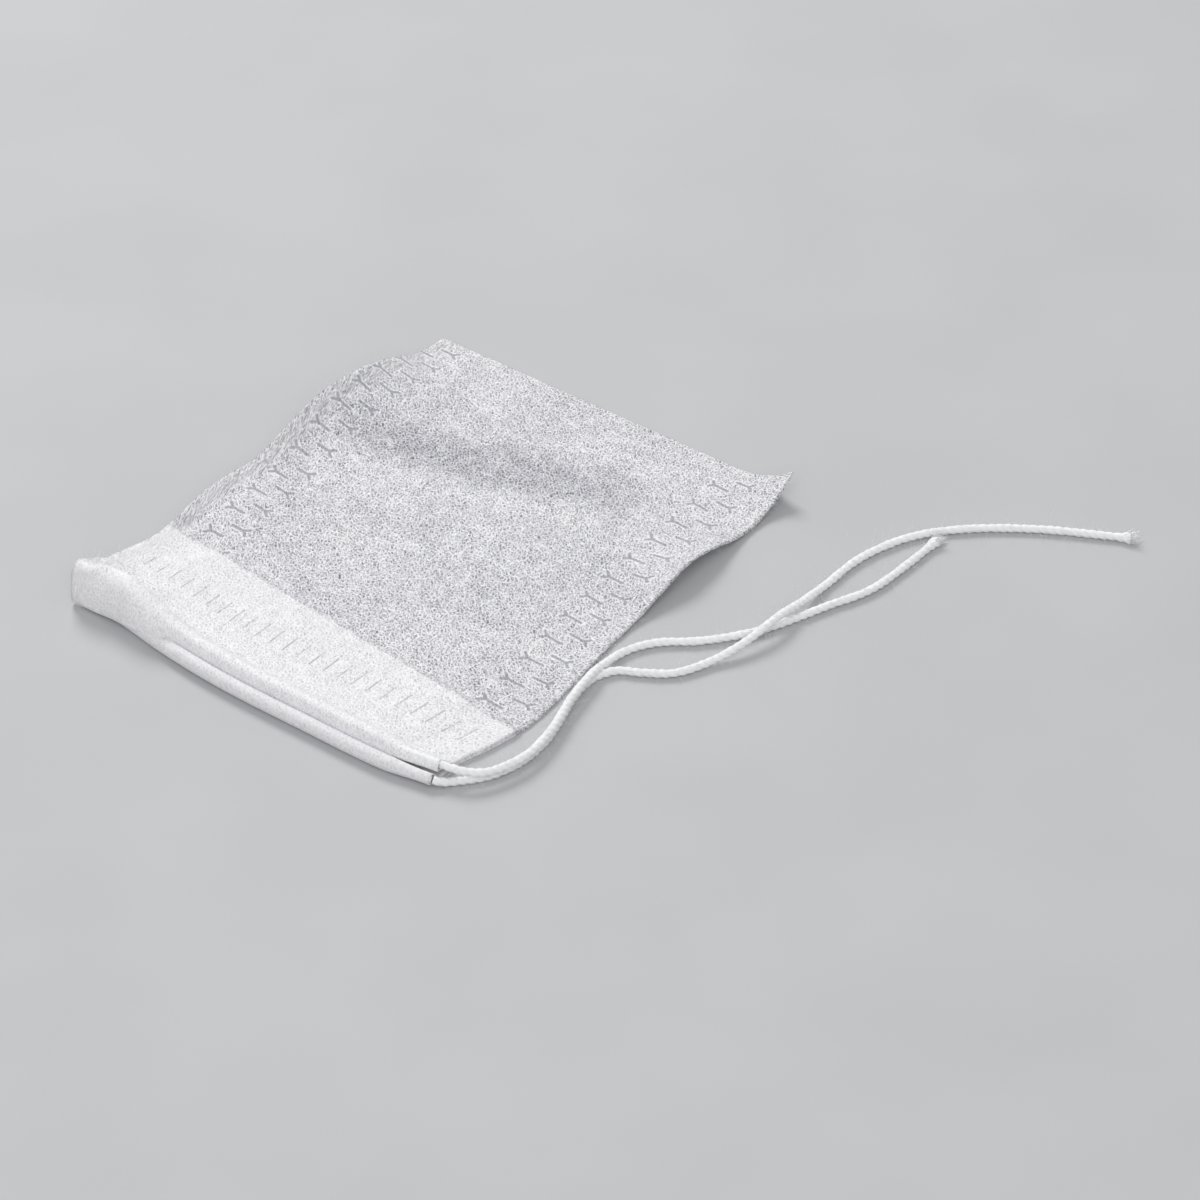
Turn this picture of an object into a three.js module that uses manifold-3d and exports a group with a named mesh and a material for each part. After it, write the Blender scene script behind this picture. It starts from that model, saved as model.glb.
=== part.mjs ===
// An empty drawstring tea bag of thin filter sheet, lying nearly flat.
// Millimetres, +Z up. X runs across the bag, Y from its mouth to its bottom fold.
import * as THREE from 'three';
import { mergeVertices } from 'three/addons/utils/BufferGeometryUtils.js';
import Module from 'manifold-3d';

// Sheet and string
const BAG_WIDTH = 55;
const BAG_LENGTH = 71;
const SHEET = 0.15;
const PLY_GAP = 0.25;
const STRING_DIAMETER = 1;
const STRING_CLEARANCE = 0.3;
const STRING_SIDES = 8;

// Hems: each mouth edge is folded in, with the string in the fold
const HEM_DEPTH_LEFT = 19;
const HEM_DEPTH_RIGHT = 14;
const BACK_HEM_SHORTER = 1;
const CASING_STAGGER = 1.7;
const CASING_RISE = 0.35;

// The front casing is stacked on the back one at the closed corner, and stepped back from it elsewhere
const STACKED_TO = -19;
const STAGGERED_FROM = -9;
const STACKED_LIFT = 0.9;

// The rows of short welds across the hems
const DASH_COUNT = 24;
const DASH_PITCH = 2.1;
const DASH_LENGTH = 2.6;
const DASH_WIDTH = 0.3;
const DASH_FROM_MOUTH = 10.5;

// Side welds, and the pocket that the string turns in at the closed corner
const WELD_WIDTH = 4.5;
const WELD_FROM_MOUTH = 6.5;
const CORNER_WELD_WIDTH = 1;
const EDGE_INSET = 0.1;
const WELD_OVERRUN = 0.3;
const WELD_SHARES = [0.25, 0.5, 0.75];
const TURN_RADIUS = 2.1;
const TURN_FROM_EDGE = 7;
const CASING_FULL_PAST_TURN = 1;
const BACK_RUN_FROM_TURN = 8;
const GAPE_FROM_MOUTH = 1.2;
const GAPE_TO_MOUTH = 6.7;
const CORNER_RISE = 0.3;
const CORNER_STEEP = 6;
const CORNER_FROM_MOUTH = 1.7;
const CORNER_TO_MOUTH = 5.7;

// The pocket that the flaps are cut back to, round the string's turn
const POCKET_FROM_TURN = 1.5;
const POCKET_PAST_TURN = 1;
const POCKET_BEHIND = 0.75;
const POCKET_STEP_BACK = 0.35;
const POCKET_STEP_FRONT = 0.6;
const POCKET_SHORTER = 1;
const POCKET_PAST_WELD = 0.5;

// Pairs of a place along the bag and a height or offset there, chosen by hand
const LEFT_EDGE_RISE = [[-31, 2.7], [-26, 1.7], [-19, 0.8], [-12, 2.3], [-8, 2.6], [-1, 2.1], [5, 3.6],
  [11, 4.9], [19, 4.4], [24.5, 2.8], [29.5, 0.8], [35, 0.3]];
const RIGHT_EDGE_RISE = [[-36, 0], [-5, 0.1], [3, 0.4], [8, 1.5], [13, 2.6], [18, 2], [23, 0.6],
  [27, 0.3], [31, 1.3], [35, 3.4]];
const RIGHT_EDGE_BOW = [[-36, 0], [-30, 0], [-26, 1.1], [-19, 1.9], [-10, 1], [0, -0.2], [10, -0.5],
  [20, -0.6], [35, -1.2]];
const MOUTH_BOW = [[-27.5, 1.8], [-22.5, 1.8], [-18, 1.2], [-10, 0.1], [-5, -0.4], [1, -0.7], [10, -0.8],
  [16, -0.9], [22, -0.75], [27.5, -0.1]];
const CORNER_GAPE = [[-27.5, 3.7], [-24, 2.3], [-20.5, 2.3], [-16, 0.9], [-12, 0.1], [-9, 0]];
const STRING_RISE = [[-20.5, 1], [-16, 0.38], [-12, 0]];
const STRING_LEVEL_FROM = -12;
const FRONT_BILLOW = [[-18, 0], [-10, 0.5], [0, 1.1], [6, 1.4], [12, 0.8], [20, 0.5], [28, 0.3],
  [35, 0]];
const BILLOW_FROM = 6;
const LEFT_LIFT_WIDTH = 16;
const LEFT_LIFT_POWER = 1.6;
const RIGHT_LIFT_WIDTH = 9;
const RIGHT_LIFT_POWER = 2;
const RIGHT_BOW_FROM = 8;
const MOUTH_BOW_FULL = 5;
const MOUTH_BOW_REACH = 22;

// Place of the mouth fold, in the same measure as the pairs
const MOUTH_Y = -36.2;

// Rows of points along the sheet, as distances past the feature that each one follows
const HEM_STEP = [0.4, 1.4, 2.4];
const HEM_STEP_FOOT = 2.2;
const INSIDE_HEM = 1.5;
const BESIDE_DASH = 1.6;
const BESIDE_WELD = 1.1;
const CASING_REACH = 2.4;
const CASING_FOOT = 0.9;
const CASING_TOP = 0.2;
const FLAP_FOOT = 2.6;
const BACK_FLAP_FOOT = 1.5;
const BOTTOM_ROW = 0.6;
const WELD_BOTTOM_ROW = 0.7;
const CORNER_WELD_FROM = 0.5;
const PANEL_ROWS = 15;
const STATIONS = 12;
const RIGHT_STATIONS = 3;
const RIGHT_STATIONS_FROM = 8.8;
const RIGHT_STATIONS_GAP = 2.2;
const STATION_STEP = 1.2;
const FOLD_POINTS = 7;
const SMALL_FOLD_POINTS = 4;

// Places that follow from the sizes
const HALF_WIDTH = BAG_WIDTH / 2;
const BOTTOM_Y = MOUTH_Y + BAG_LENGTH;
const CASING_RADIUS = (STRING_DIAMETER + SHEET) / 2 + STRING_CLEARANCE;
const FLAT_RADIUS = (SHEET + PLY_GAP) / 2;
const BACK_STRING_Y = MOUTH_Y + SHEET / 2 + CASING_RADIUS;
const FRONT_STRING_Y = BACK_STRING_Y + CASING_STAGGER;
const BACK_STRING_Z = SHEET / 2 + CASING_RADIUS;
const FRONT_STRING_Z = level(2) + CASING_RADIUS + CASING_RISE;
const TURN_X = -HALF_WIDTH + TURN_FROM_EDGE;
const TURN_RISE = BACK_STRING_Z + Math.sqrt((2 * TURN_RADIUS) ** 2 - CASING_STAGGER ** 2) - FRONT_STRING_Z;
const CASING_FULL_X = TURN_X - TURN_RADIUS - CASING_FULL_PAST_TURN;
const WELD_Y = MOUTH_Y + WELD_FROM_MOUTH;
const DASH_Y = MOUTH_Y + DASH_FROM_MOUTH;

// Height of the middle of the nth ply of a flat stack
function level(n) {
  return SHEET / 2 + n * (SHEET + PLY_GAP);
}

// A smooth rise from 0 at from to 1 at to
function ramp(value, from, to) {
  return THREE.MathUtils.smootherstep((value - from) / (to - from), 0, 1);
}

// A smooth curve through pairs of place and value
function through(pairs, place) {
  const last = pairs.length - 1;
  const at = THREE.MathUtils.clamp(place, pairs[0][0], pairs[last][0]);
  const i = Math.min(last - 1, pairs.findLastIndex((pair) => pair[0] <= at));
  const slope = (k) => {
    const [before, after] = [pairs[Math.max(0, k - 1)], pairs[Math.min(last, k + 1)]];
    return (after[1] - before[1]) / (after[0] - before[0]);
  };
  const span = pairs[i + 1][0] - pairs[i][0];
  const t = (at - pairs[i][0]) / span;
  const blend = t * t * (3 - 2 * t);
  return pairs[i][1] * (1 - blend) + pairs[i + 1][1] * blend
    + span * (t * (1 - t) * (1 - t) * slope(i) - t * t * (1 - t) * slope(i + 1));
}

// How far both panels are lifted off the table at a place
function lift(x, y) {
  const atCorner = 1 - ramp(y, MOUTH_Y + CORNER_FROM_MOUTH, MOUTH_Y + CORNER_TO_MOUTH);
  const width = THREE.MathUtils.lerp(LEFT_LIFT_WIDTH, CORNER_STEEP, atCorner);
  const rise = THREE.MathUtils.lerp(through(LEFT_EDGE_RISE, y), CORNER_RISE, atCorner);
  const inLeft = THREE.MathUtils.clamp(1 - (x + HALF_WIDTH) / width, 0, 1);
  const inRight = THREE.MathUtils.clamp(1 - (HALF_WIDTH - x) / RIGHT_LIFT_WIDTH, 0, 1);
  return rise * inLeft ** LEFT_LIFT_POWER + through(RIGHT_EDGE_RISE, y) * inRight ** RIGHT_LIFT_POWER;
}

// How far the string's turn at the closed corner holds the front panel up, over a tall casing
function gape(x, y) {
  return through(CORNER_GAPE, x) * (1 - ramp(y, MOUTH_Y + GAPE_FROM_MOUTH, MOUTH_Y + GAPE_TO_MOUTH));
}

// How far the front panel swells between the side welds
function billow(x, y) {
  return through(FRONT_BILLOW, y) * (1 - ramp(Math.abs(x), BILLOW_FROM, HALF_WIDTH - WELD_WIDTH));
}

// Place along the bag of a hem's inner edge
function hemLine(x) {
  const share = (x + HALF_WIDTH) / BAG_WIDTH;
  return MOUTH_Y + THREE.MathUtils.lerp(HEM_DEPTH_LEFT, HEM_DEPTH_RIGHT, share);
}

// Casing radius: full round the string, and pressed flat at the closed corner
function casingRadius(x) {
  return THREE.MathUtils.lerp(FLAT_RADIUS, CASING_RADIUS, ramp(x, -HALF_WIDTH, CASING_FULL_X));
}

// Place along the bag of the back casing's centre
function casingY(x) {
  return MOUTH_Y + SHEET / 2 + casingRadius(x);
}

// Centre of the front casing at a station: stacked on the back casing at the closed corner
function frontCasing(x) {
  const radius = casingRadius(x);
  const full = (radius - FLAT_RADIUS) / (CASING_RADIUS - FLAT_RADIUS);
  const staggered = ramp(x, STACKED_TO, STAGGERED_FROM);
  const rise = CASING_RISE * full + STACKED_LIFT * (1 - staggered);
  return { y: casingY(x) + CASING_STAGGER * staggered, z: level(2) + radius + rise, radius };
}

// Height of the front panel's middle
function frontPanelZ(x, y) {
  const casing = frontCasing(x);
  const inHem = 1 - ramp(y, hemLine(x) + HEM_STEP[0], hemLine(x) + HEM_STEP_FOOT);
  const open = level(1) + billow(x, y);
  const ridge = Math.max(casing.y, FRONT_STRING_Y) + CASING_TOP;
  const climb = (casing.z + casing.radius - level(3)) * (1 - ramp(y, ridge, WELD_Y));
  return THREE.MathUtils.lerp(open, level(3), inHem) + climb + lift(x, y) + gape(x, y);
}

const backPanelZ = (x, y) => level(0) + lift(x, y);
const backFlapZ = (x, y) => level(1) + lift(x, y);
const frontFlapZ = (x, y) => level(2) + lift(x, y);

// Where a place of the flat bag lies once its edges have bowed
function bowed(x, y, z) {
  const nearMouth = 1 - ramp(y, MOUTH_Y + MOUTH_BOW_FULL, MOUTH_Y + MOUTH_BOW_REACH);
  const nearRight = ramp(x, RIGHT_BOW_FROM, HALF_WIDTH);
  return new THREE.Vector3(
    x + through(RIGHT_EDGE_BOW, y) * nearRight,
    y + through(MOUTH_BOW, x) * nearMouth,
    z,
  );
}

// Evenly spaced values from one to another
function spread(from, to, count) {
  return Array.from({ length: count }, (_, i) => THREE.MathUtils.lerp(from, to, i / (count - 1)));
}

// Points of an arc about a casing's centre, from one angle to another, in degrees from +Y
function arc(y, z, radius, from, to, count) {
  return spread(from, to, count).map((degrees) => {
    const angle = THREE.MathUtils.degToRad(degrees);
    return [y + radius * Math.cos(angle), z + radius * Math.sin(angle)];
  });
}

// Places along the bag where both panels get a point, from the bottom fold to the casings
function panelPlaces(x) {
  const hem = hemLine(x);
  const [top, middle, foot] = HEM_STEP.map((past) => hem + past);
  return [...spread(BOTTOM_Y - BOTTOM_ROW, foot, PANEL_ROWS), middle, top, ...hemPlaces(x)];
}

// Places along a hem where every ply gets a point
function hemPlaces(x) {
  const inside = hemLine(x) - INSIDE_HEM;
  return [inside, (inside + DASH_Y) / 2, DASH_Y, DASH_Y - BESIDE_DASH, WELD_Y + BESIDE_WELD, WELD_Y];
}

// Places along the back panel under the casings
function mouthPlaces(x) {
  return [frontCasing(x).y + CASING_TOP, frontCasing(x).y + CASING_REACH, WELD_Y];
}

// The middle line of the folded sheet across one station, from the back flap round to the front flap
function sheetLine(x) {
  const radius = casingRadius(x);
  const front = frontCasing(x);
  const hem = hemLine(x);
  const backY = casingY(x);
  const backZ = level(0) + radius;
  const lifted = (points) => points.map(([y, z]) => [y, z + lift(x, y)]);
  const held = (points) => points.map(([y, z]) => [y, z + lift(x, y) + gape(x, y)]);

  const backFold = arc(backY, backZ, radius, 30, 270, FOLD_POINTS);
  const [reach, foot] = [front.y + CASING_REACH, backY + BACK_FLAP_FOOT];
  const underFront = [reach, (reach + foot) / 2, foot];
  const backFlapPlaces = [hem - BACK_HEM_SHORTER, ...hemPlaces(x), ...underFront];
  const backFlap = backFlapPlaces.map((y) => [y, level(1)]);
  const backPlaces = [...mouthPlaces(x), ...panelPlaces(x).reverse().slice(1)];
  const backPanel = backPlaces.map((y) => [y, level(0)]);
  const bottomMiddle = level(0) + FLAT_RADIUS;
  const bottomFold = arc(BOTTOM_Y - FLAT_RADIUS, bottomMiddle, FLAT_RADIUS, -90, 90, SMALL_FOLD_POINTS);
  const frontPlaces = [...panelPlaces(x), front.y + CASING_REACH];
  const frontPanel = frontPlaces.map((y) => [y, frontPanelZ(x, y)]);
  const foldTop = arc(front.y, front.z, radius, 75, 180, SMALL_FOLD_POINTS);
  const foldUnder = arc(front.y, front.z, radius, 195, 270, SMALL_FOLD_POINTS);
  const flapDown = (y) => ramp(y, front.y, front.y + FLAP_FOOT);
  const flapZ = (y) => THREE.MathUtils.lerp(front.z - radius, level(2), flapDown(y));
  const flapPlaces = [front.y + CASING_FOOT, front.y + CASING_REACH, ...hemPlaces(x).reverse(), hem];
  const frontFlap = flapPlaces.map((y) => [y, flapZ(y)]);
  return [
    ...lifted([...backFlap, ...backFold, ...backPanel, ...bottomFold]),
    ...frontPanel, ...held(foldTop), ...lifted([...foldUnder, ...frontFlap]),
  ];
}

// The two faces of the sheet at a station, half its thickness either side of the middle line
function sheetFaces(x) {
  const line = sheetLine(x);
  const face = (side) => line.map(([y, z], i) => {
    const before = line[Math.max(0, i - 1)];
    const after = line[Math.min(line.length - 1, i + 1)];
    const [dy, dz] = [after[0] - before[0], after[1] - before[1]];
    const half = side * SHEET / 2 / Math.hypot(dy, dz);
    return bowed(x, y - dz * half, z + dy * half);
  });
  return [face(1), face(-1)];
}

// A closed solid through stations that each hold two faces with as many points.
// Crossed splits the first face's squares the other way, to follow a panel that runs back again.
function bandSolid(stations, crossed = false) {
  const positions = [];
  const triangles = [];
  const points = stations[0][0].length;
  stations.forEach((faces) => faces.forEach((face) => face.forEach((point) => positions.push(...point))));
  const index = (station, face, point) => (station * 2 + face) * points + point;
  const quad = (a, b, c, d) => triangles.push(a, b, c, a, c, d);
  for (let s = 0; s + 1 < stations.length; s += 1) {
    for (let p = 0; p + 1 < points; p += 1) {
      const [near, far] = [index(s, 0, p), index(s + 1, 0, p)];
      const corners = [near, far, far + 1, near + 1];
      quad(...(crossed ? [...corners.slice(1), corners[0]] : corners));
      quad(index(s, 1, p), index(s, 1, p + 1), index(s + 1, 1, p + 1), index(s + 1, 1, p));
    }
    quad(index(s, 0, 0), index(s, 1, 0), index(s + 1, 1, 0), index(s + 1, 0, 0));
    const end = points - 1;
    quad(index(s, 1, end), index(s, 0, end), index(s + 1, 0, end), index(s + 1, 1, end));
  }
  const last = stations.length - 1;
  for (let p = 0; p + 1 < points; p += 1) {
    quad(index(0, 0, p), index(0, 0, p + 1), index(0, 1, p + 1), index(0, 1, p));
    quad(index(last, 0, p), index(last, 1, p), index(last, 1, p + 1), index(last, 0, p + 1));
  }
  const geometry = new THREE.BufferGeometry();
  geometry.setAttribute('position', new THREE.Float32BufferAttribute(positions, 3));
  geometry.setIndex(triangles);
  return geometry;
}

// A filled strip between two plies, over some stations and places along the bag
function weld(across, alongAt, lowerZ, upperZ) {
  return bandSolid(across.map((x) => [
    alongAt(x).map((y) => bowed(x, y, upperZ(x, y))),
    alongAt(x).map((y) => bowed(x, y, lowerZ(x, y))),
  ]), true);
}

// Stations across one side weld, from its cut edge inwards
function weldStations(side, first, last) {
  return [first, ...WELD_SHARES.map((share) => WELD_WIDTH * share), last]
    .map((inset) => side * (HALF_WIDTH - inset));
}

// Stations of the sheet, closer together where its right edge lifts
function stationsAcross() {
  const inner = HALF_WIDTH - WELD_WIDTH - STATION_STEP;
  const closer = HALF_WIDTH - RIGHT_STATIONS_FROM;
  return [
    ...weldStations(-1, 0, WELD_WIDTH),
    ...spread(-inner, closer - RIGHT_STATIONS_GAP, STATIONS),
    ...spread(closer, inner, RIGHT_STATIONS),
    ...weldStations(1, 0, WELD_WIDTH).reverse(),
  ];
}

const wasm = await Module();
wasm.setup();

function toSolid(geometry) {
  const merged = mergeVertices(geometry, 1e-5);
  return new wasm.Manifold(new wasm.Mesh({
    numProp: 3,
    vertProperties: new Float32Array(merged.attributes.position.array),
    triVerts: new Uint32Array(merged.index.array),
  }));
}

// The bag's own shell, without the pinholes that fused plies can leave inside a weld
function outerShell(solid) {
  const larger = (one, other) => (other.volume() > one.volume() ? other : one);
  return solid.decompose().reduce(larger);
}

function toGeometry(solid) {
  const mesh = solid.getMesh();
  const geometry = new THREE.BufferGeometry();
  geometry.setAttribute('position', new THREE.Float32BufferAttribute(mesh.vertProperties, 3));
  geometry.setIndex(Array.from(mesh.triVerts));
  geometry.computeVertexNormals();
  return geometry;
}

// The short welds that hold one hem's flap to its panel
function hemDashes(lowerZ, upperZ) {
  const first = -DASH_PITCH * (DASH_COUNT - 1) / 2;
  return Array.from({ length: DASH_COUNT }, (_, i) => {
    const x = first + i * DASH_PITCH;
    const across = [x - DASH_WIDTH / 2, x + DASH_WIDTH / 2];
    const along = () => spread(DASH_Y - DASH_LENGTH / 2, DASH_Y + DASH_LENGTH / 2, 2);
    return weld(across, along, lowerZ, upperZ);
  });
}

// The pocket where both flaps are cut away, so that the string can turn from one casing to the other
function turnPocket() {
  const across = spread(TURN_X - TURN_RADIUS - POCKET_FROM_TURN, TURN_X + POCKET_PAST_TURN, 4);
  const along = [
    BACK_STRING_Y - POCKET_BEHIND, FRONT_STRING_Y - POCKET_STEP_BACK, FRONT_STRING_Y + POCKET_STEP_FRONT,
    WELD_Y - POCKET_SHORTER, WELD_Y + POCKET_PAST_WELD,
  ];
  const lower = (x, y) => (y < BACK_STRING_Y ? BACK_STRING_Z : level(0.5)) + lift(x, y);
  const upper = (x, y) => (y < FRONT_STRING_Y ? FRONT_STRING_Z : level(2.5)) + lift(x, y) + gape(x, y);
  return weld(across, () => along, lower, upper);
}

function filterBag() {
  const sheet = bandSolid(stationsAcross().map(sheetFaces));
  const along = (x) => {
    const rows = panelPlaces(x).reverse().slice(1, -1);
    return [WELD_Y + WELD_OVERRUN, ...rows, BOTTOM_Y - WELD_BOTTOM_ROW];
  };
  const inner = WELD_WIDTH + WELD_OVERRUN;
  const leftWeld = weld(weldStations(-1, EDGE_INSET, inner), along, backPanelZ, frontPanelZ);
  const rightWeld = weld(weldStations(1, EDGE_INSET, inner).reverse(), along, backPanelZ, frontPanelZ);
  const cornerAlong = (x) => {
    const casing = frontCasing(x).y;
    return [casing + CORNER_WELD_FROM, casing + CASING_REACH, WELD_Y, WELD_Y + 2 * WELD_OVERRUN];
  };
  const cornerAcross = [2 * EDGE_INSET - HALF_WIDTH, CORNER_WELD_WIDTH - HALF_WIDTH];
  const cornerWeld = weld(cornerAcross, cornerAlong, backPanelZ, frontPanelZ);
  const welds = [
    leftWeld, rightWeld, cornerWeld,
    ...hemDashes(frontFlapZ, frontPanelZ), ...hemDashes(backPanelZ, backFlapZ),
  ];
  const folded = toSolid(sheet).subtract(toSolid(turnPocket()));
  const joined = welds.reduce((solid, geometry) => solid.add(toSolid(geometry)), folded);
  return toGeometry(outerShell(joined));
}

// The string's free ends, as places on the table chosen by hand, each from its cut end to the bag
const SHORT_TAIL = [
  [45.6, 37.2, 0.5], [45.6, 31.5, 0.5], [45.1, 24.5, 0.5], [43, 18.9, 0.5], [41, 13.4, 0.5],
  [38.9, 9, 0.5], [35.2, 4.2, 0.5], [31.5, 0.9, 0.5], [29.7, -2.6, 0.5], [29.6, -6.2, 0.9],
  [30.1, -9.9, 1.45], [31.2, -14.9, 1.55], [32.4, -18.6, 1.55], [33.25, -22.1, 1.55],
  [33.6, -25.7, 1.55], [33, -28.8, 1.55], [31.9, -31.3, 1.6], [30.2, -32.8, 1.85],
];
const LONG_TAIL = [
  [63.5, 51.8, 0.5], [53.5, 46.4, 0.5], [46.6, 41, 0.5], [42.6, 35.8, 0.5], [40.5, 29, 0.5],
  [40.4, 22.5, 0.5], [40.7, 17, 1.2], [40.8, 12, 1.95], [40.3, 6.6, 1.4], [39, 2.4, 0.7],
  [36.7, -2.4, 0.5], [33.6, -4.7, 0.5], [31.2, -6.1, 0.5], [30, -8.6, 0.5], [30, -11.4, 0.5],
  [30.8, -14.6, 0.5], [32, -18.2, 0.5], [32.9, -21.7, 0.5], [33.1, -25.2, 0.5], [32.6, -28.4, 0.5],
  [31.5, -30.9, 0.5], [30, -32.9, 0.5], [28.6, -34.6, 0.7],
];

// A curve with one step for each of its points, no lower than the string lies
class RouteCurve extends THREE.CatmullRomCurve3 {
  getPointAt(u, target) {
    const point = this.getPoint(u, target);
    return point.setZ(Math.max(point.z, STRING_DIAMETER / 2));
  }

  getTangentAt(u, target) {
    return this.getTangent(u, target);
  }
}

// The string's way through both casings, with its turn at the closed corner
function casingRun() {
  const frontZ = (x) => FRONT_STRING_Z + TURN_RISE * through(STRING_RISE, x) + lift(x, FRONT_STRING_Y);
  const front = (x) => bowed(x, FRONT_STRING_Y, frontZ(x));
  const back = (x) => bowed(x, BACK_STRING_Y, BACK_STRING_Z + lift(x, BACK_STRING_Y));
  const middle = front(TURN_X).add(back(TURN_X)).multiplyScalar(0.5);
  const up = front(TURN_X).sub(middle);
  const turn = [60, 30, 0, -30, -60].map((degrees) => {
    const angle = THREE.MathUtils.degToRad(degrees);
    const out = new THREE.Vector3(-TURN_RADIUS * Math.cos(angle), 0, 0);
    return middle.clone().addScaledVector(up, Math.sin(angle)).add(out);
  });
  const frontRun = [...spread(HALF_WIDTH, 0, 4), ...spread(STRING_LEVEL_FROM, TURN_X, 5)].map(front);
  const backRun = [TURN_X, TURN_X + BACK_RUN_FROM_TURN, ...spread(0, HALF_WIDTH, 4)].map(back);
  return [...frontRun, ...turn, ...backRun];
}

function drawstring() {
  const points = (list) => list.map((place) => new THREE.Vector3(...place));
  const held = casingRun();
  const route = [...points(SHORT_TAIL), ...held, ...points(LONG_TAIL).reverse()];
  const free = (i) => i < SHORT_TAIL.length - 1 || i >= SHORT_TAIL.length + held.length;
  const smooth = new THREE.CatmullRomCurve3(route, false, 'centripetal');
  const places = route.flatMap((_, i) => (free(i) && i + 1 < route.length ? [i, i + 0.5] : [i]));
  const line = places.map((place) => smooth.getPoint(place / (route.length - 1)));
  const section = new THREE.Shape(spread(0, 2 * Math.PI, STRING_SIDES + 1).slice(0, -1).map((angle) => (
    new THREE.Vector2(Math.cos(angle), Math.sin(angle)).multiplyScalar(STRING_DIAMETER / 2)
  )));
  const curve = new RouteCurve(line, false, 'centripetal');
  const steps = line.length - 1;
  return new THREE.ExtrudeGeometry(section, { steps, extrudePath: curve, bevelEnabled: false });
}

function named(name, geometry, finish) {
  const mesh = new THREE.Mesh(geometry, new THREE.MeshStandardMaterial(finish));
  mesh.name = name;
  return mesh;
}

const bag = named('filter_bag', filterBag(), { color: 0xe4e5ea, roughness: 0.9, metalness: 0 });
const string = named('drawstring', drawstring(), { color: 0xf3f1ee, roughness: 0.95, metalness: 0 });

// The origin is under the middle of the bag, on the surface that it lies on
bag.geometry.computeBoundingBox();
const { min, max } = bag.geometry.boundingBox;
const teaBag = new THREE.Group();
teaBag.add(bag, string);
teaBag.children.forEach((mesh) => mesh.position.set(-(min.x + max.x) / 2, -(min.y + max.y) / 2, -min.z));

export default teaBag;
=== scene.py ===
"""An empty drawstring tea bag of thin filter sheet, lying on a pale table.

Lengths are in millimetres until a mesh is made, and +Z is up.
"""

import math

import bpy
import numpy as np
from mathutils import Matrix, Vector


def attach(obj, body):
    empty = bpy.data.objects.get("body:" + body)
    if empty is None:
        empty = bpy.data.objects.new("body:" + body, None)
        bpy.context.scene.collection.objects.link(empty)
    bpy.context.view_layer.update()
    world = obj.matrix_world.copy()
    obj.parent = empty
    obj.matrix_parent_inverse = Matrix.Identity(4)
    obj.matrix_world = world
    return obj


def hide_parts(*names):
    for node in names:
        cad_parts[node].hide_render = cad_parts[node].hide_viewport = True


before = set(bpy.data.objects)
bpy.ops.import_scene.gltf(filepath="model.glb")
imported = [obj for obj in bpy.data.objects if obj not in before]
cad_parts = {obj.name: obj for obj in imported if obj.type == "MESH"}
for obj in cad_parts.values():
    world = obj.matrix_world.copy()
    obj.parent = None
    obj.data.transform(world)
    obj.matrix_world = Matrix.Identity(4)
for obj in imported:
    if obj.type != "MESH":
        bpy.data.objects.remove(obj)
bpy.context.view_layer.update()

MM = 0.001

# The sheet and the string, as in the part's source
BAG_WIDTH = 55.0
BAG_LENGTH = 71.0
SHEET = 0.15
PLY_GAP = 0.25
PRESSED_GAP = 0.02
STRING_DIAMETER = 1.0
STRING_CLEARANCE = 0.3
HEM_DEPTH_LEFT = 19.0
HEM_DEPTH_RIGHT = 14.0
BACK_HEM_SHORTER = 1.0
CASING_STAGGER = 1.7
CASING_RISE = 0.35
DASH_PITCH = 2.1
DASH_COUNT = 24
DASH_LENGTH = 2.6
DASH_FROM_MOUTH = 10.5
TURN_RADIUS = 2.1
TURN_FROM_EDGE = 7.0
STACKED_TO = -19.0
STAGGERED_FROM = -9.0
STACKED_LIFT = 0.9
GAPE_FROM_MOUTH = 1.2
GAPE_TO_MOUTH = 6.7
CORNER_RISE = 0.3
CORNER_STEEP = 6.0
CORNER_FROM_MOUTH = 1.7
CORNER_TO_MOUTH = 5.7
STRING_LEVEL_FROM = -12.0
CASING_FULL_PAST_TURN = 1.0
BACK_RUN_FROM_TURN = 8.0
PRESSED_TO_INSET = 3.5
LOOSE_FROM_INSET = 9.0

# Pairs of a place along the bag and a height or offset there, as in the part's source
LEFT_EDGE_RISE = [(-31, 2.7), (-26, 1.7), (-19, 0.8), (-12, 2.3), (-8, 2.6), (-1, 2.1), (5, 3.6),
                  (11, 4.9), (19, 4.4), (24.5, 2.8), (29.5, 0.8), (35, 0.3)]
RIGHT_EDGE_RISE = [(-36, 0), (-5, 0.1), (3, 0.4), (8, 1.5), (13, 2.6), (18, 2), (23, 0.6),
                   (27, 0.3), (31, 1.3), (35, 3.4)]
RIGHT_EDGE_BOW = [(-36, 0), (-30, 0), (-26, 1.1), (-19, 1.9), (-10, 1), (0, -0.2), (10, -0.5),
                  (20, -0.6), (35, -1.2)]
MOUTH_BOW = [(-27.5, 1.8), (-22.5, 1.8), (-18, 1.2), (-10, 0.1), (-5, -0.4), (1, -0.7), (10, -0.8),
             (16, -0.9), (22, -0.75), (27.5, -0.1)]
CORNER_GAPE = [(-27.5, 3.7), (-24, 2.3), (-20.5, 2.3), (-16, 0.9), (-12, 0.1), (-9, 0)]
STRING_RISE = [(-20.5, 1), (-16, 0.38), (-12, 0)]
FRONT_BILLOW = [(-18, 0), (-10, 0.5), (0, 1.1), (6, 1.4), (12, 0.8), (20, 0.5), (28, 0.3), (35, 0)]
BILLOW_FROM = 6.0
BILLOW_TO_EDGE = 4.5
LEFT_LIFT_WIDTH = 16.0
LEFT_LIFT_POWER = 1.6
RIGHT_LIFT_WIDTH = 9.0
RIGHT_LIFT_POWER = 2.0
RIGHT_BOW_FROM = 8.0
MOUTH_BOW_FULL = 5.0
MOUTH_BOW_REACH = 22.0
MOUTH_Y = -36.2

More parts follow.
